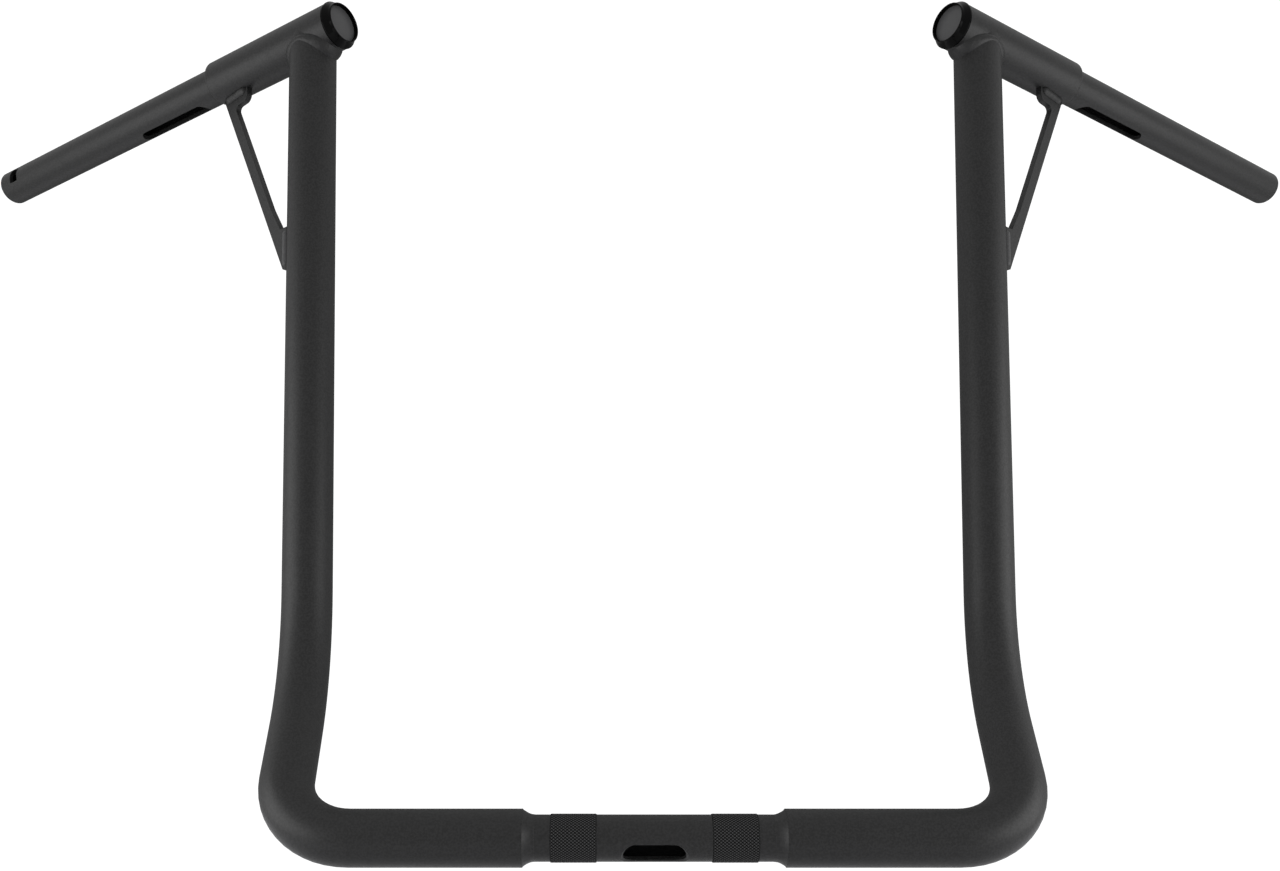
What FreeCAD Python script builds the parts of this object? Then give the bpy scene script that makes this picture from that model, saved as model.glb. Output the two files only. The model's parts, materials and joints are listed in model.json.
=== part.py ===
import FreeCAD, Part
import math
import os

# Motorcycle handlebar: a welded frame of bent steel tube with no moving parts.
# The frame has +X to the rider's left, +Y back to the rider and +Z up, and its
# origin is the middle of the clamp tube, on its axis. Sizes are in millimetres
# and angles in degrees.

Vector = FreeCAD.Vector

# Tube stock: ends of the bar tube are turned to a spigot that slides into the
# main tube, whose bore follows it
MAIN_DIAMETER = 31.75
BAR_DIAMETER = 25.4
BAR_WALL = 3.0
SPIGOT_DIAMETER = 25.0
SPIGOT_LENGTH = 40.0
SPIGOT_CLEARANCE = 0.1

# Clamp tube: two rolled bands for the riser clamps and an outlet for the wiring
CLAMP_SPACING = 88.9
CLAMP_BAND_LENGTH = 25.4
CLAMP_BAND_RISE = 0.2
OUTLET_LENGTH = 34.6
OUTLET_WIDTH = 13.6
OUTLET_RIM = 1.2
OUTLET_TURN = 50.0
SHOULDER_X = 72.5
SHOULDER_WELD_LENGTH = 6.0
SHOULDER_WELD_CROWN = 0.1

# Risers: out along X, round the lower bend, back and up, then up to the tee
LOWER_BEND_X = 208.0
LOWER_BEND_RADIUS = 41.5
MIDDLE_BEND_X = 213.5
MIDDLE_BEND_BACK = 96.5
MIDDLE_BEND_RISE = 80.5
MIDDLE_BEND_RADIUS = 139.0
TEE_X = 227.5
TEE_BACK = 180.5
TEE_RISE = 503.0

# Cross tubes: square-ended at the cap, rounded at the collar
SWEEP_ANGLE = 31.4
DROOP_ANGLE = 11.1
CROSS_INNER_LENGTH = 22.0
CROSS_OUTER_LENGTH = 92.0
COLLAR_EDGE_RADIUS = 2.2
WIRE_HOLE_DIAMETER = 18.0

# Weld round the tee: a hollow fillet in the crotches, a low ridge at the ears,
# where the two tubes' sides run level
TEE_WELD_CROTCH_LEG = 6.0
TEE_WELD_CROTCH_CROWN = -0.6
TEE_WELD_EAR_LEG = 0.9
TEE_WELD_EAR_CROWN = 0.5
TEE_WELD_TOE_SINK = 0.2
TEE_WELD_ROOT = 2.5
TEE_WELD_OVERRUN = 15.0
TEE_WELD_SECTIONS = 21

# Grip tubes: a slot underneath for the switch wiring, and a window near the
# end of the throttle side
GRIP_LENGTH = 242.0
GRIP_END_EDGE = 0.6
GRIP_SLOT_START = 15.5
GRIP_SLOT_LENGTH = 68.0
GRIP_SLOT_WIDTH = 12.0
GRIP_WELD_LENGTH = 1.2
WINDOW_END_GAP = 12.0
WINDOW_LENGTH = 8.5
WINDOW_WIDTH = 11.5
WINDOW_CORNER_RADIUS = 1.0
WINDOW_TURN = 112.0

# End caps: a plug with a shadow groove, a flange, a rounded shoulder and a
# raised, dished face
CAP_FLANGE_RISE = 0.4
CAP_GROOVE_LENGTH = 0.5
CAP_GROOVE_DEPTH = 0.8
CAP_FLANGE_LENGTH = 3.4
CAP_SHOULDER_LENGTH = 5.0
CAP_SHOULDER_RISE = 0.5
CAP_LENGTH = 6.8
CAP_FACE_RADIUS = 13.6
CAP_RIM_WIDTH = 0.9
CAP_DISH_DEPTH = 1.0
CAP_STEM_LENGTH = 14.0
CAP_STEM_WALL = 2.5
CAP_CLEARANCE = 0.05

# Braces: a flat plate from the riser up to the underside of the cross tube
BRACE_THICKNESS = 4.0
BRACE_STRAP_WIDTH = 8.0
BRACE_FOOT_TURN = 36.0
BRACE_COLLAR_GAP = 17.8
BRACE_UPPER_FOOT_LENGTH = 27.5
BRACE_UPPER_FOOT_DEPTH = 9.0
BRACE_TOE_RADIUS = 5.0
BRACE_CROOK_RADIUS = 3.0
BRACE_LOWER_PLACE = 167.5
BRACE_LOWER_FOOT_LENGTH = 29.0
BRACE_TAIL_WIDTH = 1.7
BRACE_FLARE_WIDTH = 5.0
BRACE_FLARE_LENGTH = 18.0
BRACE_FLARE_RADIUS = 30.0
BRACE_UPPER_WELD_LEG = 2.4
BRACE_LOWER_WELD_LEG = 1.0
BRACE_WELD_END_GAP = 1.5

MAIN_RADIUS = MAIN_DIAMETER / 2
BAR_RADIUS = BAR_DIAMETER / 2
BAR_BORE_RADIUS = BAR_RADIUS - BAR_WALL
SPIGOT_RADIUS = SPIGOT_DIAMETER / 2
MAIN_BORE_RADIUS = SPIGOT_RADIUS + SPIGOT_CLEARANCE
JOINT_REACH = 3 * MAIN_DIAMETER  # further than any weld reaches from the tee
SHORTEST_EDGE = 1e-6
SNAP = 1e-3  # places closer than this are the same
ORIGIN = Vector(0, 0, 0)
X_AXIS = Vector(1, 0, 0)
Z_AXIS = Vector(0, 0, 1)
DOWN = Vector(0, 0, -1)
FRONT = Vector(0, -1, 0)


def square_to(vector, axis):
    """The unit vector of what is left of a vector across an axis."""
    return (vector - axis * vector.dot(axis)).normalize()


def turned(vector, axis, angle):
    return FreeCAD.Rotation(axis, angle).multVec(vector)


def arc_at(before, corner, after, radius):
    """Start, middle and end of the arc that rounds a corner."""
    back = (before - corner).normalize()
    ahead = (after - corner).normalize()
    half_angle = back.getAngle(ahead) / 2
    reach = radius / math.tan(half_angle)
    middle = corner + (back + ahead).normalize() * (radius / math.sin(half_angle) - radius)
    return corner + back * reach, middle, corner + ahead * reach


def line(start, end):
    return Part.LineSegment(start, end).toShape()


def bent_line(points, radii):
    """A centre line of straight runs with a tangent arc at each inner point."""
    edges = []
    start = points[0]
    for before, corner, after, radius in zip(points, points[1:], points[2:], radii):
        arc_start, middle, arc_end = arc_at(before, corner, after, radius)
        edges.append(line(start, arc_start))
        edges.append(Part.Arc(arc_start, middle, arc_end).toShape())
        start = arc_end
    edges.append(line(start, points[-1]))
    return Part.Wire(edges)


def rounded_face(corners):
    """A flat face from (point, corner radius) pairs; radius 0 stays sharp."""
    edges = []
    points = [point for point, radius in corners]
    stops = []
    for index, (point, radius) in enumerate(corners):
        if radius == 0:
            stops.append((point, None, point))
        else:
            after = points[(index + 1) % len(points)]
            stops.append(arc_at(points[index - 1], point, after, radius))
    for index, (start, middle, end) in enumerate(stops):
        if middle is not None:
            edges.append(Part.Arc(start, middle, end).toShape())
        next_start = stops[(index + 1) % len(stops)][0]
        if end.distanceToPoint(next_start) > SHORTEST_EDGE:
            edges.append(line(end, next_start))
    return Part.Face(Part.Wire(edges))


def rod(start, end, radius):
    return Part.makeCylinder(radius, (end - start).Length, start, end - start)


def swept_rod(path, start, direction, radius):
    disc = Part.Face(Part.Wire(Part.makeCircle(radius, start, direction)))
    return path.makePipe(disc)


def turned_part(profile, origin, axis):
    """Revolve (radius, height) edges about Z, then stand them on an axis."""
    face = Part.Face(Part.Wire(profile))
    solid = face.revolve(ORIGIN, Z_AXIS, 360)
    solid.Placement = FreeCAD.Placement(origin, FreeCAD.Rotation(Z_AXIS, axis))
    return solid


def profile_point(radius, height):
    return Vector(radius, 0, height)


def profile_lines(points):
    return [line(start, end) for start, end in zip(points, points[1:])]


def slot_cutter(centre, along, facing, length, width, corner_radius):
    """A prism with a rounded outline, from a tube's axis out through its wall."""
    across = along.cross(facing)
    half_length = along * (length / 2)
    half_width = across * (width / 2)
    corners = [
        (centre - half_length - half_width, corner_radius),
        (centre + half_length - half_width, corner_radius),
        (centre + half_length + half_width, corner_radius),
        (centre - half_length + half_width, corner_radius),
    ]
    return rounded_face(corners).extrude(facing * BAR_DIAMETER)


def capsule(start, end, radius):
    middle = rod(start, end, radius)
    return middle.fuse([Part.makeSphere(radius, start), Part.makeSphere(radius, end)])


def on_outlet_rim(edge):
    """Whether an edge runs round the outlet, on the clamp tube's outer wall."""
    for vertex in edge.Vertexes:
        across = math.hypot(vertex.Y, vertex.Z)
        if abs(across - BAR_RADIUS) > SNAP or abs(vertex.X) > OUTLET_LENGTH / 2 + SNAP:
            return False
    return True


def clamp_tube():
    """Centre tube: plain ends inside the risers, two bands, one wiring outlet."""
    half_length = SHOULDER_X + SPIGOT_LENGTH
    band_radius = BAR_RADIUS + CLAMP_BAND_RISE
    tube = rod(X_AXIS * -half_length, X_AXIS * half_length, SPIGOT_RADIUS)
    tube = tube.fuse(rod(X_AXIS * -SHOULDER_X, X_AXIS * SHOULDER_X, BAR_RADIUS))
    for side in (-1, 1):
        band_start = side * CLAMP_SPACING / 2 - CLAMP_BAND_LENGTH / 2
        band = rod(X_AXIS * band_start, X_AXIS * (band_start + CLAMP_BAND_LENGTH), band_radius)
        tube = tube.fuse(band)
    tube = tube.cut(rod(X_AXIS * -half_length, X_AXIS * half_length, BAR_BORE_RADIUS))
    facing = turned(DOWN, X_AXIS, -OUTLET_TURN)
    outlet = slot_cutter(ORIGIN, X_AXIS, facing, OUTLET_LENGTH, OUTLET_WIDTH, OUTLET_WIDTH / 2)
    tube = tube.cut(outlet).removeSplitter()
    rim = [edge for edge in tube.Edges if on_outlet_rim(edge)]
    return tube.makeChamfer(OUTLET_RIM, rim)


def shoulder_weld():
    """Weld ring that fairs the riser's end down to the clamp tube."""
    toe = profile_point(BAR_RADIUS, -SHOULDER_WELD_LENGTH)
    root = profile_point(BAR_RADIUS, 0)
    top = profile_point(MAIN_RADIUS, 0)
    slope = top - toe
    outward = Vector(slope.z, 0, -slope.x).normalize()
    crown = (toe + top) / 2 + outward * SHOULDER_WELD_CROWN
    profile = [line(toe, root), line(root, top), Part.Arc(top, crown, toe).toShape()]
    return turned_part(profile, X_AXIS * SHOULDER_X, X_AXIS)


class LeftHalf:
    """Places and directions of the left half; the right half is its mirror image."""

    def __init__(self):
        sweep = math.radians(SWEEP_ANGLE)
        droop = math.radians(DROOP_ANGLE)
        self.riser_start = Vector(SHOULDER_X, 0, 0)
        lower_bend = Vector(LOWER_BEND_X, 0, 0)
        middle_bend = Vector(MIDDLE_BEND_X, MIDDLE_BEND_BACK, MIDDLE_BEND_RISE)
        self.tee = Vector(TEE_X, TEE_BACK, TEE_RISE)
        self.riser_points = [self.riser_start, lower_bend, middle_bend, self.tee]
        self.riser_axis = (self.tee - middle_bend).normalize()
        level = math.cos(droop)
        self.cross_axis = Vector(
            level * math.cos(sweep), level * math.sin(sweep), -math.sin(droop)
        )
        self.outward = square_to(self.cross_axis, self.riser_axis)
        self.above_cross = square_to(self.riser_axis, self.cross_axis)
        self.front = self.outward.cross(self.riser_axis)
        self.cap_end = self.tee - self.cross_axis * CROSS_INNER_LENGTH
        self.collar = self.tee + self.cross_axis * CROSS_OUTER_LENGTH
        self.bar_end = self.collar + self.cross_axis * GRIP_LENGTH
        self.grip_down = square_to(DOWN, self.cross_axis)
        self.grip_front = square_to(FRONT, self.cross_axis)

    def riser_rod(self, radius):
        path = bent_line(self.riser_points, [LOWER_BEND_RADIUS, MIDDLE_BEND_RADIUS])
        return swept_rod(path, self.riser_start, X_AXIS, radius)

    def cross_rod(self, radius):
        return rod(self.cap_end, self.collar, radius)


def riser_tube(place):
    """Bent tube, coped at the top to sit under the cross tube."""
    tube = place.riser_rod(MAIN_RADIUS).cut(place.riser_rod(MAIN_BORE_RADIUS))
    return tube.cut(place.cross_rod(MAIN_RADIUS))


def cross_tube(place):
    """Straight tube with a rounded collar end and a hole over the riser's bore."""
    collar_circle = place.collar + place.outward * MAIN_RADIUS
    tube = place.cross_rod(MAIN_RADIUS)
    edge = min(tube.Edges, key=lambda edge: edge.distToShape(Part.Vertex(collar_circle))[0])
    tube = tube.makeFillet(COLLAR_EDGE_RADIUS, [edge])
    tube = tube.cut(place.cross_rod(MAIN_BORE_RADIUS))
    hole_end = place.tee - place.riser_axis * MAIN_DIAMETER
    return tube.cut(rod(place.tee, hole_end, WIRE_HOLE_DIAMETER / 2))


def tee_weld_section(place, side, angle):
    """Section of the tee's bead, at an angle round the riser from the crotch on a side.

    The joint of two equal tubes lies in the plane that mirrors one tube to the
    other, so a toe on the cross tube is the mirror image of one on the riser. The
    leg on the cross tube widens fast from the ear, which makes a round arch there.
    """
    up = place.riser_axis
    outward = place.outward * side
    reach = place.cross_axis * side
    mirror_normal = (up + reach).normalize()
    fall = outward.dot(reach) / (1 + up.dot(reach))

    def mirrored(vector):
        return vector - mirror_normal * (2 * vector.dot(mirror_normal))

    def toe_on_riser(leg):
        toe = joint + down_riser * leg
        return up * toe.dot(up) + square_to(toe, up) * (MAIN_RADIUS - TEE_WELD_TOE_SINK)

    turn = math.radians(angle)
    riser_normal = outward * math.cos(turn) + place.front * math.sin(turn)
    joint = riser_normal * MAIN_RADIUS - up * (fall * MAIN_RADIUS * math.cos(turn))
    tangent = place.front * math.cos(turn) - (outward - up * fall) * math.sin(turn)
    down_riser = riser_normal.cross(tangent).normalize()
    if down_riser.dot(up) > 0:
        down_riser = down_riser * -1
    fullness = max(math.cos(turn), 0)
    leg_growth = TEE_WELD_CROTCH_LEG - TEE_WELD_EAR_LEG
    crown_growth = TEE_WELD_CROTCH_CROWN - TEE_WELD_EAR_CROWN
    toe = toe_on_riser(TEE_WELD_EAR_LEG + leg_growth * fullness**2)
    upper_toe = mirrored(toe_on_riser(TEE_WELD_EAR_LEG + leg_growth * (1 - (1 - fullness) ** 4)))
    crown = TEE_WELD_EAR_CROWN + crown_growth * fullness**2
    outer = (riser_normal + mirrored(riser_normal)).normalize()
    root = place.tee + joint - outer * TEE_WELD_ROOT
    face = Part.BezierCurve()
    face.setPoles(
        [
            place.tee + toe,
            place.tee + (toe + upper_toe) / 2 + outer * (2 * crown),
            place.tee + upper_toe,
        ]
    )
    edges = [face.toShape(), line(place.tee + upper_toe, root), line(root, place.tee + toe)]
    return Part.Wire(edges)


def tee_weld(place):
    """Bead round the coped joint, lofted on each side and mitred at the ears."""
    riser_top = rod(place.tee - place.riser_axis * JOINT_REACH, place.tee, MAIN_RADIUS)
    cross_reach = place.cross_axis * JOINT_REACH
    cross_middle = rod(place.tee - cross_reach, place.tee + cross_reach, MAIN_RADIUS)
    end_angle = 90 + TEE_WELD_OVERRUN
    step = 2 * end_angle / (TEE_WELD_SECTIONS - 1)
    halves = []
    for side in (1, -1):
        sections = [
            tee_weld_section(place, side, index * step - end_angle)
            for index in range(TEE_WELD_SECTIONS)
        ]
        bead = Part.makeLoft(sections, True)
        half_space = rod(place.tee, place.tee + place.outward * (side * JOINT_REACH), JOINT_REACH)
        halves.append(bead.common(half_space).cut(riser_top).cut(cross_middle))
    return halves[0].fuse(halves[1])


def grip_tube(place):
    """Straight bar tube: a spigot inside the collar, a slot underneath."""
    start = place.collar - place.cross_axis * SPIGOT_LENGTH
    shoulder = place.collar + place.cross_axis * GRIP_WELD_LENGTH
    tube = rod(shoulder, place.bar_end, BAR_RADIUS)
    edge = max(tube.Edges, key=lambda edge: edge.CenterOfMass.dot(place.cross_axis))
    tube = tube.makeFillet(GRIP_END_EDGE, [edge])
    tube = tube.fuse(rod(start, shoulder, SPIGOT_RADIUS))
    tube = tube.cut(rod(start, place.bar_end, BAR_BORE_RADIUS))
    slot_centre = place.collar + place.cross_axis * (GRIP_SLOT_START + GRIP_SLOT_LENGTH / 2)
    tube = tube.cut(
        slot_cutter(
            slot_centre,
            place.cross_axis,
            place.grip_down,
            GRIP_SLOT_LENGTH,
            GRIP_SLOT_WIDTH,
            GRIP_SLOT_WIDTH / 2,
        )
    )
    return tube


def throttle_window(place):
    """Cutter for the window in the throttle side's tube."""
    turn = math.radians(WINDOW_TURN)
    facing = place.grip_down * math.cos(turn) + place.grip_front * math.sin(turn)
    facing = square_to(facing, place.cross_axis)
    centre = place.bar_end - place.cross_axis * (WINDOW_END_GAP + WINDOW_LENGTH / 2)
    return slot_cutter(
        centre, place.cross_axis, facing, WINDOW_LENGTH, WINDOW_WIDTH, WINDOW_CORNER_RADIUS
    )


def grip_weld(place):
    """Weld ring that fills the groove between the collar and the grip tube."""
    root = profile_point(SPIGOT_RADIUS, 0)
    outline = [
        root,
        profile_point(MAIN_RADIUS - COLLAR_EDGE_RADIUS, 0),
        profile_point(BAR_RADIUS, GRIP_WELD_LENGTH),
        profile_point(SPIGOT_RADIUS, GRIP_WELD_LENGTH),
        root,
    ]
    return turned_part(profile_lines(outline), place.collar, place.cross_axis)


def end_cap(place):
    """Plug for the cross tube's inner end: groove, flange, shoulder, dished face."""
    flange = MAIN_RADIUS + CAP_FLANGE_RISE
    groove = flange - CAP_GROOVE_DEPTH
    stem = MAIN_BORE_RADIUS - CAP_CLEARANCE
    stem_bore = stem - CAP_STEM_WALL
    dish = CAP_FACE_RADIUS - CAP_RIM_WIDTH
    dish_height = CAP_LENGTH - CAP_DISH_DEPTH
    shoulder_start = profile_point(flange, CAP_FLANGE_LENGTH)
    shoulder_end = profile_point(CAP_FACE_RADIUS, CAP_SHOULDER_LENGTH)
    chord = shoulder_end - shoulder_start
    shoulder_out = Vector(chord.z, 0, -chord.x).normalize()
    shoulder_top = (shoulder_start + shoulder_end) / 2 + shoulder_out * CAP_SHOULDER_RISE
    points = [
        shoulder_end,
        profile_point(CAP_FACE_RADIUS, CAP_LENGTH),
        profile_point(dish, CAP_LENGTH),
        profile_point(dish, dish_height),
        profile_point(0, dish_height),
        profile_point(0, 0),
        profile_point(stem_bore, 0),
        profile_point(stem_bore, -CAP_STEM_LENGTH),
        profile_point(stem, -CAP_STEM_LENGTH),
        profile_point(stem, 0),
        profile_point(groove, 0),
        profile_point(groove, CAP_GROOVE_LENGTH),
        profile_point(flange, CAP_GROOVE_LENGTH),
        shoulder_start,
    ]
    profile = profile_lines(points)
    profile.append(Part.Arc(shoulder_start, shoulder_top, shoulder_end).toShape())
    return turned_part(profile, place.cap_end, place.cross_axis * -1)


class BracePlane:
    """The brace's flat plane, with its own (out, up) coordinates.

    Up runs along the riser from the level of the tee, and out runs away from
    the line where the plate's lower foot meets the riser.
    """

    def __init__(self, place):
        turn = math.radians(BRACE_FOOT_TURN)
        foot_side = place.outward * math.cos(turn) + place.front * math.sin(turn)
        self.origin = place.tee + foot_side * MAIN_RADIUS
        upper_foot = (
            place.collar - place.cross_axis * BRACE_COLLAR_GAP - place.above_cross * MAIN_RADIUS
        )
        self.up = place.riser_axis
        self.out = square_to(upper_foot - self.origin, self.up)
        self.normal = self.up.cross(self.out)
        along = place.cross_axis - self.normal * place.cross_axis.dot(self.normal)
        self.along_cross = along.normalize()
        self.upper_foot = upper_foot

    def point(self, out, up):
        return self.origin + self.out * out + self.up * up

    def meeting(self, start, direction, other_start, other_direction):
        """Where two lines of the plane cross."""
        across = self.normal.cross(other_direction)
        gap = (other_start - start).dot(across) / direction.dot(across)
        return start + direction * gap


def brace_points(plane):
    """Ends of both feet and the corners of the plate between them."""
    half_foot = plane.along_cross * (BRACE_UPPER_FOOT_LENGTH / 2)
    foot_down = plane.normal.cross(plane.along_cross)
    if foot_down.dot(plane.up) > 0:
        foot_down = foot_down * -1
    tail = plane.point(BRACE_TAIL_WIDTH, -BRACE_LOWER_PLACE)
    heel = plane.upper_foot + half_foot
    toe = plane.upper_foot - half_foot
    strap = (heel - tail).normalize()
    inward = square_to(plane.out * -1, strap)
    sole_start = toe + foot_down * BRACE_UPPER_FOOT_DEPTH
    inner_start = heel + inward * BRACE_STRAP_WIDTH
    crook = plane.meeting(inner_start, strap, sole_start, plane.along_cross)
    flare_end = plane.point(BRACE_FLARE_WIDTH, BRACE_LOWER_FOOT_LENGTH - BRACE_LOWER_PLACE)
    flare_level = plane.point(0, BRACE_LOWER_FOOT_LENGTH + BRACE_FLARE_LENGTH - BRACE_LOWER_PLACE)
    flare_start = plane.meeting(inner_start, strap, flare_level, plane.out)
    return tail, heel, toe, sole_start, crook, flare_start, flare_end, foot_down


def brace(place):
    """Flat plate with a long toe on the cross tube and a flared foot on the riser."""
    plane = BracePlane(place)
    tail, heel, toe, sole_start, crook, flare_start, flare_end, foot_down = brace_points(plane)
    sunk = MAIN_RADIUS  # the outline runs in to the tubes' middles, and the tubes trim it
    corners = [
        (plane.point(-sunk, -BRACE_LOWER_PLACE), 0),
        (tail, 0),
        (heel, 0),
        (heel - foot_down * sunk, 0),
        (toe - foot_down * sunk, 0),
        (sole_start, BRACE_TOE_RADIUS),
        (crook, BRACE_CROOK_RADIUS),
        (flare_start, BRACE_FLARE_RADIUS),
        (flare_end, 0),
        (plane.point(-sunk, BRACE_LOWER_FOOT_LENGTH - BRACE_LOWER_PLACE), 0),
    ]
    face = rounded_face(corners)
    face.translate(plane.normal * (-BRACE_THICKNESS / 2))
    plate = face.extrude(plane.normal * BRACE_THICKNESS)
    return plate.cut([place.riser_rod(MAIN_RADIUS), place.cross_rod(MAIN_RADIUS)])


def brace_upper_weld(place, plate):
    """Bead along both sides of the brace's toe, under the cross tube."""
    plane = BracePlane(place)
    bead_radius = BRACE_THICKNESS / 2 + BRACE_UPPER_WELD_LEG
    end_gap = bead_radius + BRACE_WELD_END_GAP
    half_bead = plane.along_cross * (BRACE_UPPER_FOOT_LENGTH / 2 - end_gap)
    bead = capsule(plane.upper_foot - half_bead, plane.upper_foot + half_bead, bead_radius)
    return bead.cut([plate, place.cross_rod(MAIN_RADIUS)])


def brace_lower_weld(place, plate):
    """Bead along both sides of the brace's foot, on the side of the riser."""
    plane = BracePlane(place)
    bead_radius = BRACE_THICKNESS / 2 + BRACE_LOWER_WELD_LEG
    end_gap = bead_radius + BRACE_WELD_END_GAP
    bead_start = plane.point(0, end_gap - BRACE_LOWER_PLACE)
    bead_end = plane.point(0, BRACE_LOWER_FOOT_LENGTH - end_gap - BRACE_LOWER_PLACE)
    bead = capsule(bead_start, bead_end, bead_radius)
    return bead.cut([plate, place.riser_rod(MAIN_RADIUS)])


def half_pieces(place):
    plate = brace(place)
    return {
        "shoulder_weld": shoulder_weld(),
        "riser_tube": riser_tube(place),
        "cross_tube": cross_tube(place),
        "tee_weld": tee_weld(place),
        "end_cap": end_cap(place),
        "grip_tube": grip_tube(place),
        "grip_weld": grip_weld(place),
        "brace": plate,
        "brace_upper_weld": brace_upper_weld(place, plate),
        "brace_lower_weld": brace_lower_weld(place, plate),
    }


def main():
    place = LeftHalf()
    nodes = {"clamp_tube": clamp_tube()}
    for piece, shape in half_pieces(place).items():
        nodes[f"left_{piece}"] = shape
        if piece == "grip_tube":
            shape = shape.cut(throttle_window(place))
        nodes[f"right_{piece}"] = shape.mirror(ORIGIN, X_AXIS)
    os.makedirs("parts", exist_ok=True)
    for name, shape in nodes.items():
        shape.exportStep(f"parts/{name}.step")


main()
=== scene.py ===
import json
import math
import bmesh
import bpy
from mathutils import Matrix, Vector


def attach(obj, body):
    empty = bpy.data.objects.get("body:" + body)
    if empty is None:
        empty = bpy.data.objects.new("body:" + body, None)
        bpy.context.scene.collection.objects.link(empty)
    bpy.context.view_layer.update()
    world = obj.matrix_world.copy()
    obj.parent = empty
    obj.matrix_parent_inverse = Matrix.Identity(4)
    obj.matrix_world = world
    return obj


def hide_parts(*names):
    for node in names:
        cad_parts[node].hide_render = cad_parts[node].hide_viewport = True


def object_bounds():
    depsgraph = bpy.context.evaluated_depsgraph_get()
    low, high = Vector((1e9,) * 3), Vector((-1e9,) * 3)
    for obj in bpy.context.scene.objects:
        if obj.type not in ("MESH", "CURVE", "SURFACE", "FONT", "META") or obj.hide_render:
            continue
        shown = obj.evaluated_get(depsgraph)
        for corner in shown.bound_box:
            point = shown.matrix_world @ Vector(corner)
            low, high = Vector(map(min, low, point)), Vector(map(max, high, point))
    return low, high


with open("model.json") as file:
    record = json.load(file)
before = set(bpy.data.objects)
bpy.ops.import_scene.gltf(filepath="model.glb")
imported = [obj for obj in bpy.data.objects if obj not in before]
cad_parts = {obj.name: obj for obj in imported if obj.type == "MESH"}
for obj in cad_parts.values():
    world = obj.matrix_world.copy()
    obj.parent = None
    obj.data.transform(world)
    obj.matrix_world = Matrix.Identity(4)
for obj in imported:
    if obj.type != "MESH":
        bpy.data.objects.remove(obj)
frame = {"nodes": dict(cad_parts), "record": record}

cad_low, cad_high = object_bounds()


# Clamp tube: a one inch steel tube that the handlebar clamps hold by two
# bands. A wiring outlet is milled through its lower front wall, and the whole
# welded frame is coated in satin black powder, which softens every edge.
class Shade:
    """A value in a node tree: sums and products of values add Math nodes."""

    def __init__(self, tree, socket):
        self.tree = tree
        self.socket = socket

    def node(self, kind, settings=None, inputs=None, output=0):
        made = self.tree.nodes.new(kind)
        for name, value in (settings or {}).items():
            setattr(made, name, value)
        for key, value in (inputs or {}).items():
            if isinstance(value, Shade):
                self.tree.links.new(value.socket, made.inputs[key])
            else:
                made.inputs[key].default_value = value
        return Shade(self.tree, made.outputs[output])

    def math(self, operation, first, second):
        return self.node("ShaderNodeMath", {"operation": operation}, {0: first, 1: second})

    def __add__(self, other):
        return self.math("ADD", self, other)

    def __radd__(self, other):
        return self.math("ADD", other, self)

    def __sub__(self, other):
        return self.math("SUBTRACT", self, other)

    def __rsub__(self, other):
        return self.math("SUBTRACT", other, self)

    def __mul__(self, other):
        return self.math("MULTIPLY", self, other)

    def __rmul__(self, other):
        return self.math("MULTIPLY", other, self)

    def noise(self, features_per_metre, detail=2.0):
        return self.node(
            "ShaderNodeTexNoise", None, {"Vector": self, "Scale": features_per_metre, "Detail": detail}
        )

    def length(self):
        return self.node("ShaderNodeVectorMath", {"operation": "LENGTH"}, {0: self}, output=1)

    def around(self, middle, spread):
        """A value that strays to either side of middle as this one runs from 0 to 1."""
        return middle + spread * (self - 0.5)

    def ramp(self, low, high):
        """0 below low and 1 above high, with a smooth rise between."""
        return self.node(
            "ShaderNodeMapRange",
            {"interpolation_type": "SMOOTHSTEP"},
            {"Value": self, "From Min": low, "From Max": high},
        )

    def between(self, low, high):
        """A colour that runs from low to high as this value runs from 0 to 1."""
        # Inputs 6 and 7 and output 2 are the Mix node's colours.
        return self.node(
            "ShaderNodeMix",
            {"data_type": "RGBA"},
            {"Factor": self, 6: (*low, 1.0), 7: (*high, 1.0)},
            output=2,
        )


def start_material(name):
    """A new material, its shader and the place of each point on the object."""
    material = bpy.data.materials.new(name)
    material.use_nodes = True
    tree = material.node_tree
    place = Shade(tree, tree.nodes.new("ShaderNodeTexCoord").outputs["Object"])
    return material, tree.nodes["Principled BSDF"], place


def feed(shader, socket, value):
    value.tree.links.new(value.socket, shader.inputs[socket])


def grey(level):
    """A grey that is very slightly blue."""
    blue_share = 1.02
    return (level, level, level * blue_share)


def powder_coat(name, dark, light, roughness, lump_size, lump_depth, edge_softness):
    """Satin black powder: fine grain and a shallow orange peel over the metal's own lumps."""
    grains_per_metre = 900.0
    peel_per_metre = 420.0
    clouds_per_metre = 24.0
    speckle_share = 0.7
    grain_depth = 0.00010
    grain_strength = 0.5
    material, shader, place = start_material(name)
    shader.inputs["Specular IOR Level"].default_value = 0.25
    grain = place.noise(grains_per_metre, detail=1.0)
    peel = place.noise(peel_per_metre, detail=1.0)
    cloud = place.noise(clouds_per_metre, detail=3.0)
    lumps = place.noise(1 / lump_size, detail=1.0)
    speckle = grain.ramp(0.35, 0.65)
    tone = cloud * (1 - speckle_share) + speckle * speckle_share
    feed(shader, "Base Color", tone.between(grey(dark), grey(light)))
    feed(shader, "Roughness", peel.around(roughness, 0.10) + cloud.around(0.0, 0.06))
    soft_edges = place.node("ShaderNodeBevel", {"samples": 4}, {"Radius": edge_softness})
    lumpy = place.node(
        "ShaderNodeBump", None, {"Distance": lump_depth, "Height": lumps, "Normal": soft_edges}
    )
    bumps = place.node(
        "ShaderNodeBump",
        None,
        {
            "Strength": grain_strength,
            "Distance": grain_depth,
            "Height": grain * 0.7 + peel,
            "Normal": lumpy,
        },
    )
    feed(shader, "Normal", bumps)
    return material


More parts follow.
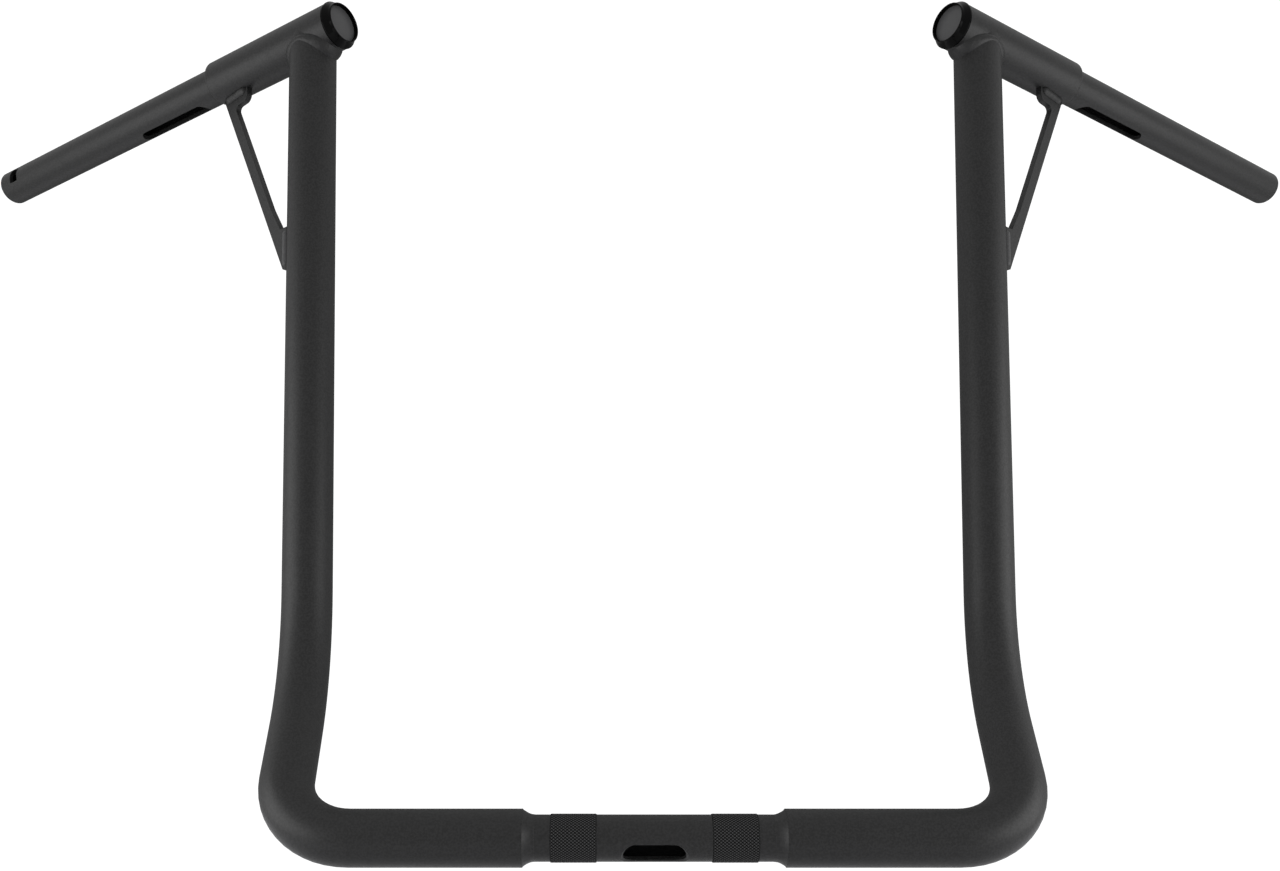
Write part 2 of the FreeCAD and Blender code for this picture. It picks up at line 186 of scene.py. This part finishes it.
def coat_nodes(names, material):
    for name in names:
        materials = frame["nodes"][name].data.materials
        materials.clear()
        materials.append(material)


def both_sides(piece):
    return [f"left_{piece}", f"right_{piece}"]


milled_coat = powder_coat(
    "milled tube powder coat",
    dark=0.0030,
    light=0.0110,
    roughness=0.46,
    lump_size=0.03,
    lump_depth=0.00008,
    edge_softness=0.0004,
)
coat_nodes(["clamp_tube"], milled_coat)

# Knurled bands: a diamond knurl is rolled into the clamp tube over an inch at
# each side, so that the clamps' halves bite and the bar can't turn. The grooves
# are painted near black, which is painted shade, and the flat-topped diamonds a paler grey.
mounts = {mount["name"]: mount for mount in frame["record"]["mounts"]}
band_spacing = 0.0889
band_length = 0.0254
band_rise = 0.00005
band_root_depth = 0.0006
band_radius = mounts["clamp_seat"]["dims"]["r_mm"] / 1000 + band_rise
diamonds_round = 48
diamonds_along = 12
groove_half_width = 0.00033
diamond_height = 0.00022
groove_roughness = 0.85
top_roughness = 0.45

knurl_coat, knurl_shader, knurl_place = start_material("knurl powder coat")
knurl_shader.inputs["Specular IOR Level"].default_value = 0.06
across_tube = knurl_place.node(
    "ShaderNodeVectorMath", {"operation": "MULTIPLY"}, {0: knurl_place, 1: (0, 1, 1)}
)
from_axis = across_tube.length()
on_top = from_axis.ramp(band_radius + 0.3 * diamond_height, band_radius + 0.8 * diamond_height)
# Base colour: near black in the grooves, painted shade, and a paler grey on the diamonds' tops.
feed(knurl_shader, "Base Color", on_top.between(grey(0.0005), grey(0.036)))
knurl_roughness = groove_roughness - (groove_roughness - top_roughness) * on_top
knurl_grain = knurl_place.noise(features_per_metre=1900.0)
feed(knurl_shader, "Roughness", knurl_roughness + knurl_grain.around(0.0, 0.1))


def select_edges(piece, is_wanted):
    """Select those edges of a piece in edit mode that is_wanted says yes to."""
    bpy.ops.mesh.select_mode(type="EDGE")
    bpy.ops.mesh.select_all(action="DESELECT")
    for edge in bmesh.from_edit_mesh(piece.data).edges:
        edge.select = is_wanted(edge)


def is_rim(edge):
    return edge.is_boundary


def is_grid_line(edge):
    """An inner edge of the first grid. Without it, the two triangles at its sides are a diamond."""
    joins_corners = all(len(vertex.link_edges) > 4 for vertex in edge.verts)
    return joins_corners and not edge.is_boundary


for side, name in ((1, "left_knurl_band"), (-1, "right_knurl_band")):
    band_middle = (side * band_spacing / 2, 0, 0)
    bpy.ops.object.select_all(action="DESELECT")
    bpy.ops.mesh.primitive_cylinder_add(
        vertices=diamonds_round,
        radius=band_radius,
        depth=band_length,
        end_fill_type="NOTHING",
        location=band_middle,
        rotation=(0, math.radians(90), 0),
    )
    bpy.ops.object.transform_apply(location=True, rotation=True, scale=True)
    knurl = bpy.context.object
    knurl.name = name
    bpy.ops.object.mode_set(mode="EDIT")
    select_edges(knurl, lambda edge: abs(edge.verts[0].co.x - edge.verts[1].co.x) > band_length / 2)
    bpy.ops.mesh.subdivide(number_cuts=diamonds_along - 1)
    bpy.ops.mesh.select_all(action="SELECT")
    bpy.ops.mesh.poke()
    select_edges(knurl, is_grid_line)
    bpy.ops.mesh.dissolve_edges(use_verts=False)
    bpy.ops.mesh.select_mode(type="FACE")
    bpy.ops.mesh.select_all(action="SELECT")
    bpy.ops.mesh.inset(thickness=groove_half_width, depth=diamond_height, use_individual=True)
    select_edges(knurl, is_rim)
    bpy.ops.mesh.extrude_region_move()
    root_share = (band_radius - band_root_depth) / band_radius
    bpy.ops.transform.resize(value=(1, root_share, root_share), center_override=band_middle)
    bpy.ops.mesh.bridge_edge_loops()
    bpy.ops.mesh.select_all(action="SELECT")
    bpy.ops.mesh.normals_make_consistent(inside=False)
    bpy.ops.object.mode_set(mode="OBJECT")
    knurl.data.materials.append(knurl_coat)
    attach(knurl, "root")

# Shoulder welds: a weld ring that fairs each riser's thick end down to the
# clamp tube. It is hollow along its length and a little uneven round it, and
# it starts just below the riser's edge.
clamp_radius = 0.0127
shoulder_x = 0.0726
shoulder_length = 0.0068
shoulder_rise = 0.0029
shoulder_hollow = 1.8
shoulder_sides = 96
shoulder_steps = 8
shoulder_step_length = shoulder_length / shoulder_steps
shoulder_unevenness = 0.0005
shoulder_lump_size = 0.005
inner_wall_share = 0.78
smooth_below = math.radians(50)

shoulder_coat = powder_coat(
    "shoulder weld powder coat",
    dark=0.0045,
    light=0.0110,
    roughness=0.44,
    lump_size=0.006,
    lump_depth=0.00030,
    edge_softness=0.0005,
)
coat_nodes(both_sides("shoulder_weld"), shoulder_coat)


def select_vertices(piece, indices):
    """Select the vertices of a piece in edit mode that have these indices."""
    bpy.ops.mesh.select_mode(type="VERT")
    bpy.ops.mesh.select_all(action="DESELECT")
    mesh = bmesh.from_edit_mesh(piece.data)
    mesh.verts.ensure_lookup_table()
    for index in indices:
        mesh.verts[index].select = True
    mesh.select_flush(True)


for side, name in ((1, "left_shoulder_weld"), (-1, "right_shoulder_weld")):
    ring_middle = (side * (shoulder_x - shoulder_length / 2), 0, 0)
    bpy.ops.object.select_all(action="DESELECT")
    bpy.ops.mesh.primitive_cylinder_add(
        vertices=shoulder_sides,
        radius=clamp_radius,
        depth=shoulder_length,
        end_fill_type="NOTHING",
        location=ring_middle,
        rotation=(0, math.radians(90), 0),
    )
    bpy.ops.object.transform_apply(location=True, rotation=True, scale=True)
    fairing = bpy.context.object
    fairing.name = f"{name}_ring"
    bpy.ops.object.mode_set(mode="EDIT")
    select_edges(
        fairing, lambda edge: abs(edge.verts[0].co.x - edge.verts[1].co.x) > shoulder_length / 2
    )
    bpy.ops.mesh.subdivide(number_cuts=shoulder_steps - 1)
    rings = [[] for step in range(shoulder_steps + 1)]
    for vertex in bmesh.from_edit_mesh(fairing.data).verts:
        rings[round((shoulder_x - side * vertex.co.x) / shoulder_step_length)].append(vertex.index)
    for step in range(shoulder_steps):
        step_x = side * (shoulder_x - step * shoulder_step_length)
        growth = 1 + shoulder_rise / clamp_radius * (1 - step / shoulder_steps) ** shoulder_hollow
        select_vertices(fairing, rings[step])
        bpy.ops.transform.resize(value=(1, growth, growth), center_override=(step_x, 0, 0))
    select_edges(fairing, is_rim)
    bpy.ops.mesh.extrude_region_move()
    bpy.ops.transform.resize(
        value=(1, inner_wall_share, inner_wall_share), center_override=ring_middle
    )
    bpy.ops.mesh.bridge_edge_loops()
    bpy.ops.mesh.select_all(action="SELECT")
    bpy.ops.mesh.normals_make_consistent(inside=False)
    bpy.ops.object.mode_set(mode="OBJECT")
    shoulder_lumps = bpy.data.textures.new(f"{name} lumps", "CLOUDS")
    shoulder_lumps.noise_scale = shoulder_lump_size
    bpy.ops.object.modifier_add(type="DISPLACE")
    fairing.modifiers[-1].texture = shoulder_lumps
    fairing.modifiers[-1].strength = shoulder_unevenness
    bpy.ops.object.modifier_apply(modifier=fairing.modifiers[-1].name)
    bpy.ops.object.shade_smooth_by_angle(angle=smooth_below)
    fairing.data.materials.append(shoulder_coat)
    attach(fairing, "root")
    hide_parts(name)

# Risers: inch and a quarter steel tube, bent back and then up, and coped at
# the top to sit under the cross tube.
tube_coat = powder_coat(
    "tube powder coat",
    dark=0.0030,
    light=0.0110,
    roughness=0.46,
    lump_size=0.03,
    lump_depth=0.00008,
    edge_softness=0.0,
)
coat_nodes(both_sides("riser_tube"), tube_coat)

# Cross tubes: short lengths of the same tube across the risers' tops, swept
# back and drooped, with a rounded collar where the grip tube comes out.
coat_nodes(both_sides("cross_tube"), tube_coat)

# Tee welds: one bead run right round each coped joint by hand. It is thick in
# the two corners and arches over the front and back of the riser a little
# below the cope's tips, where the two tubes meet flush. Its face is uneven.
tee = Vector((0.2275, 0.1805, 0.5030))
middle_bend = Vector((0.2135, 0.0965, 0.0805))
grip_axis = Vector(mounts["left_grip_seat"]["axis"])
tube_radius = 0.015875
bead_steps = 72
bead_sides = 14
bead_radius = 0.0030
bead_sink = 0.0023
arch_roundness = 0.87
# The half width, half height and rise of the bead's section in each corner.
outer_corner_bead = (0.0048, 0.0020, 0.0008)
inner_corner_bead = (0.0070, 0.0026, 0.0014)

weld_coat = powder_coat(
    "weld powder coat",
    dark=0.006,
    light=0.009,
    roughness=0.45,
    lump_size=0.0035,
    lump_depth=0.0005,
    edge_softness=0.0006,
)
coat_nodes(both_sides("tee_weld"), weld_coat)
for side, name in ((1, "left_tee_weld"), (-1, "right_tee_weld")):
    mirror = Vector((side, 1, 1))
    joint = tee * mirror
    up = ((tee - middle_bend) * mirror).normalized()
    along = grip_axis * mirror
    across = up.cross(along).normalized()
    outward = across.cross(up)
    slant = along.dot(up) / along.dot(outward)
    bpy.ops.object.select_all(action="DESELECT")
    bpy.ops.mesh.primitive_torus_add(
        location=joint,
        rotation=Matrix((outward, across, up)).transposed().to_euler(),
        major_segments=bead_steps,
        minor_segments=bead_sides,
        major_radius=tube_radius,
        minor_radius=bead_radius,
    )
    bpy.ops.object.transform_apply(location=True, rotation=True, scale=True)
    bead = bpy.context.object
    bead.name = f"{name}_bead"
    bpy.ops.object.mode_set(mode="EDIT")
    rings = [[] for step in range(bead_steps)]
    for vertex in bmesh.from_edit_mesh(bead.data).verts:
        arm = vertex.co - joint
        turn = math.atan2(arm.dot(across), arm.dot(outward))
        rings[round(turn / math.tau * bead_steps) % bead_steps].append(vertex.index)
    for step, ring in enumerate(rings):
        turn = math.tau * step / bead_steps
        ray = math.cos(turn) * outward + math.sin(turn) * across
        corner_bead = inner_corner_bead if math.cos(turn) < 0 else outer_corner_bead
        half_width, half_height, corner_rise = corner_bead
        corner_share = math.cos(turn) ** 2
        face = (ray - corner_share * up).normalized()
        width_growth = 1 + (half_width / bead_radius - 1) * corner_share
        height_growth = 1 + (half_height / bead_radius - 1) * corner_share
        drop = tube_radius * math.sqrt(1 - (arch_roundness * math.sin(turn)) ** 2)
        saddle_rise = slant * tube_radius * math.cos(turn) - drop
        face_rise = corner_rise * corner_share - bead_sink * (1 - corner_share)
        select_vertices(bead, ring)
        bpy.ops.transform.resize(
            value=(height_growth, width_growth, 1),
            orient_matrix=(face, face.cross(ray.cross(up)), ray.cross(up)),
            orient_matrix_type="LOCAL",
            orient_type="LOCAL",
            center_override=joint + tube_radius * ray,
        )
        bpy.ops.transform.translate(value=saddle_rise * up + face_rise * face)
    bpy.ops.object.mode_set(mode="OBJECT")
    bpy.ops.object.shade_smooth()
    bead.data.materials.append(weld_coat)
    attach(bead, "root")
    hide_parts(name)

# End caps: gloss black plastic plugs pressed into the cross tubes' inner ends.
# Each has a groove, a narrow flange, a tapered shoulder and a raised rim round
# a dished face.
cap_length = 0.0068
cap_start_radius = 0.0140
cap_sides = 96
cap_smooth_below = math.radians(40)
# The radius and the height above the tube's end, from the tube to the dish.
cap_profile = (
    (cap_start_radius, 0.0),
    (0.01548, 0.0),
    (0.01548, 0.0005),
    (0.01600, 0.0006),
    (0.01625, 0.0009),
    (0.01625, 0.0013),
    (0.01600, 0.0017),
    (0.01390, 0.0045),
    (0.01360, 0.0050),
    (0.01360, 0.0065),
    (0.01340, 0.0068),
    (0.01290, 0.0068),
    (0.01270, 0.0066),
    (0.01270, 0.0038),
)
cap_steps = len(cap_profile) - 1
cap_step_length = cap_length / cap_steps

cap_plastic, cap_shader, cap_place = start_material("gloss cap plastic")
cap_shader.inputs["Specular IOR Level"].default_value = 0.05
cap_mottle = cap_place.noise(features_per_metre=200.0)
cap_wear = cap_place.noise(features_per_metre=60.0, detail=4.0)
feed(cap_shader, "Base Color", cap_mottle.between(grey(0.001), grey(0.0015)))
feed(cap_shader, "Roughness", cap_wear.around(0.14, 0.06))
coat_nodes(both_sides("end_cap"), cap_plastic)

grip_seat = Vector(mounts["left_grip_seat"]["pos_m"])
cap_rim_level = min(vertex.co.dot(grip_axis) for vertex in frame["nodes"]["left_end_cap"].data.vertices)
cap_rim_middle = grip_seat + (cap_rim_level - grip_seat.dot(grip_axis)) * grip_axis
tube_end = cap_rim_middle + cap_length * grip_axis
for side, name in ((1, "left_end_cap"), (-1, "right_end_cap")):
    mirror = Vector((side, 1, 1))
    bpy.ops.object.select_all(action="DESELECT")
    bpy.ops.mesh.primitive_cylinder_add(vertices=cap_sides, radius=cap_start_radius, depth=cap_length)
    plug = bpy.context.object
    plug.name = f"{name}_plug"
    bpy.ops.object.mode_set(mode="EDIT")
    select_edges(plug, lambda edge: abs(edge.verts[0].co.z - edge.verts[1].co.z) > cap_length / 2)
    bpy.ops.mesh.subdivide(number_cuts=cap_steps - 1)
    rings = [[] for point in cap_profile]
    for vertex in bmesh.from_edit_mesh(plug.data).verts:
        rings[round((vertex.co.z + cap_length / 2) / cap_step_length)].append(vertex.index)
    for step, (radius, height) in enumerate(cap_profile):
        level = step * cap_step_length - cap_length / 2
        growth = radius / cap_start_radius
        select_vertices(plug, rings[step])
        bpy.ops.transform.resize(value=(growth, growth, 1), center_override=(0, 0, 0))
        bpy.ops.transform.translate(value=(0, 0, height - level))
    bpy.ops.object.mode_set(mode="OBJECT")
    bpy.ops.object.shade_smooth_by_angle(angle=cap_smooth_below)
    plug.location = tube_end * mirror
    plug.rotation_euler = (-grip_axis * mirror).to_track_quat("Z", "Y").to_euler()
    bpy.ops.object.transform_apply(location=True, rotation=True, scale=True)
    plug.data.materials.append(cap_plastic)
    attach(plug, "root")
    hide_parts(name)

# Cap discs: a thin satin black plastic disc is set into each end cap's dish,
# with a softened front edge.
disc_radius = 0.0126
disc_thickness = 0.0008
disc_drop = 0.0028
disc_edge = 0.0002
disc_sides = 64

satin_plastic, satin_shader, satin_place = start_material("satin cap disc")
satin_shader.inputs["Specular IOR Level"].default_value = 0.12
satin_grain = satin_place.noise(features_per_metre=1500.0)
satin_wear = satin_place.noise(features_per_metre=60.0, detail=4.0)
feed(satin_shader, "Base Color", satin_grain.between(grey(0.040), grey(0.056)))
feed(satin_shader, "Roughness", satin_wear.around(0.40, 0.10))

disc_middle = cap_rim_middle + (disc_drop + disc_thickness / 2) * grip_axis
disc_middle_level = disc_middle.dot(grip_axis)
for side, name in ((1, "left_cap_disc"), (-1, "right_cap_disc")):
    mirror = Vector((side, 1, 1))
    mirrored_axis = grip_axis * mirror
    bpy.ops.object.select_all(action="DESELECT")
    bpy.ops.mesh.primitive_cylinder_add(
        vertices=disc_sides,
        radius=disc_radius,
        depth=disc_thickness,
        location=disc_middle * mirror,
        rotation=mirrored_axis.to_track_quat("Z", "Y").to_euler(),
    )
    bpy.ops.object.transform_apply(location=True, rotation=True, scale=True)
    disc = bpy.context.object
    disc.name = name
    bpy.ops.object.mode_set(mode="EDIT")
    select_edges(
        disc, lambda edge: max(vertex.co.dot(mirrored_axis) for vertex in edge.verts) < disc_middle_level
    )
    bpy.ops.mesh.bevel(offset=disc_edge, segments=3)
    bpy.ops.object.mode_set(mode="OBJECT")
    bpy.ops.object.shade_smooth_by_angle(angle=smooth_below)
    disc.data.materials.append(satin_plastic)
    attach(disc, "root")

# Grip tubes: one inch steel tube spigoted into the collars, slotted underneath
# for the switch wiring, with a window near the end of the throttle side.
coat_nodes(both_sides("grip_tube"), milled_coat)

# Grip welds: a thin steel seam weld in the groove between each collar and its
# grip tube, coated a little duller than the tubes.
seam_coat = powder_coat(
    "seam weld powder coat",
    dark=0.004,
    light=0.006,
    roughness=0.6,
    lump_size=0.003,
    lump_depth=0.0002,
    edge_softness=0.0,
)
coat_nodes(both_sides("grip_weld"), seam_coat)

# Braces: flat steel plate cut to shape, welded between each riser and the
# underside of its cross tube.
plate_coat = powder_coat(
    "plate powder coat",
    dark=0.0030,
    light=0.0110,
    roughness=0.46,
    lump_size=0.02,
    lump_depth=0.00008,
    edge_softness=0.0008,
)
coat_nodes(both_sides("brace"), plate_coat)

# Brace welds: short beads along both sides of each brace's feet. The thin ones
# at the lower feet are painted pale, a painted highlight along their line.
coat_nodes(both_sides("brace_upper_weld"), weld_coat)
# Pale base colour: a painted highlight along the lower brace welds.
painted_highlight_weld_coat = powder_coat(
    "weld powder coat with painted highlight",
    dark=0.026,
    light=0.040,
    roughness=0.40,
    lump_size=0.0035,
    lump_depth=0.0002,
    edge_softness=0.0,
)
coat_nodes(both_sides("brace_lower_weld"), painted_highlight_weld_coat)

# Studio floor: a pale matt sheet well below the bar, which is held by its
# clamp tube. It glows towards its edge, so that it fades into the surround.
floor_drop = 0.30
floor_half = 1.0
glow_start = 0.5
edge_glow = 0.6

bpy.ops.object.select_all(action="DESELECT")
bpy.ops.mesh.primitive_plane_add(size=2 * floor_half, location=(0, 0, cad_low.z - floor_drop))
bpy.ops.object.transform_apply(location=True, rotation=True, scale=True)
floor = bpy.context.object
floor.name = "floor"
floor_material, floor_shader, floor_place = start_material("pale floor")
floor_glow = floor_place.length().ramp(glow_start, floor_half)
floor_mottle = floor_place.noise(features_per_metre=3.0)
feed(floor_shader, "Base Color", floor_mottle.between(grey(0.78), grey(0.80)))
feed(floor_shader, "Emission Color", floor_glow.between(grey(0.0), grey(edge_glow)))
floor_shader.inputs["Roughness"].default_value = 0.9
floor_shader.inputs["Emission Strength"].default_value = 1.0
floor.data.materials.append(floor_material)

# Black card: a studio prop, a near-black sheet put in as painted shade inside the
# throttle side's bore, just behind its open end. It keeps the white surround from shining through the
# window, which shows black.
window_bore = mounts["right_bar_bore"]
bore_axis = Vector(window_bore["axis"])
card_depth = 0.006
card_clearance = 0.0001
card_sides = 32

bpy.ops.object.select_all(action="DESELECT")
bpy.ops.mesh.primitive_circle_add(
    vertices=card_sides,
    radius=window_bore["dims"]["r_mm"] / 1000 - card_clearance,
    fill_type="NGON",
    location=Vector(window_bore["pos_m"]) - card_depth * bore_axis,
    rotation=bore_axis.to_track_quat("Z", "Y").to_euler(),
)
bpy.ops.object.transform_apply(location=True, rotation=True, scale=True)
card = bpy.context.object
card.name = "painted shade card"
# Near-black colour with no specular: painted shade for the inside of the bore.
card_material, card_shader, card_place = start_material("painted shade card")
card_grain = card_place.noise(features_per_metre=300.0)
feed(card_shader, "Base Color", card_grain.between(grey(0.001), grey(0.002)))
card_shader.inputs["Specular IOR Level"].default_value = 0.0
card.data.materials.append(card_material)

# Surround: plain white to the camera. As light it is dimmer behind the bar and
# a little brighter overhead.
front_level = 0.87
back_level = 0.25
top_level = 0.15
plain_white = 1.1

world = bpy.data.worlds.new("white surround")
world.use_nodes = True
world_tree = world.node_tree
background = world_tree.nodes["Background"]
background.inputs["Color"].default_value = (1.0, 1.0, 1.0, 1.0)
direction = Shade(world_tree, world_tree.nodes.new("ShaderNodeTexCoord").outputs["Generated"])
backwards = direction.node("ShaderNodeSeparateXYZ", None, {0: direction}, output=1).ramp(0.3, 0.95)
upwards = direction.node("ShaderNodeSeparateXYZ", None, {0: direction}, output=2).ramp(0.1, 0.8)
# The Light Path node's first output is 1 for what the camera sees directly.
seen_directly = direction.node("ShaderNodeLightPath")
studio_level = front_level - (front_level - back_level) * backwards + top_level * upwards
feed(background, "Strength", seen_directly * plain_white + (1 - seen_directly) * studio_level)
bpy.context.scene.world = world

# Side lights: a soft light at each side, a little in front of the bar, which
# draws the pale lines down the tubes.
side_light_reach = 1.0
side_light_front = -0.45
side_light_height = 0.2
side_light_size = (1.2, 0.7)
side_light_watts = 8.0

for side in (-1, 1):
    bpy.ops.object.light_add(
        type="AREA", location=(side * side_light_reach, side_light_front, side_light_height)
    )
    lamp = bpy.context.object
    lamp.rotation_euler = (math.radians(90), 0, math.radians(90 * side))
    lamp.data.shape = "RECTANGLE"
    lamp.data.size, lamp.data.size_y = side_light_size
    lamp.data.energy = side_light_watts
    lamp.visible_camera = False

# Camera: level, in front of the bar, with the frame shifted to the
# photograph's optical centre.
photo_width = 1280
photo_height = 871
focal_pixels = 1350.0
optical_centre = (607.9, 495.7)
camera_place = (-0.0255, -0.7453, 0.1890)

bpy.ops.object.camera_add(location=camera_place, rotation=(math.radians(90), 0, 0))
camera = bpy.context.object
camera.data.sensor_width = 36.0
camera.data.lens = camera.data.sensor_width * focal_pixels / photo_width
camera.data.shift_x = (photo_width / 2 - optical_centre[0]) / photo_width
camera.data.shift_y = (optical_centre[1] - photo_height / 2) / photo_width
bpy.context.scene.camera = camera
bpy.context.scene.view_settings.view_transform = "Standard"
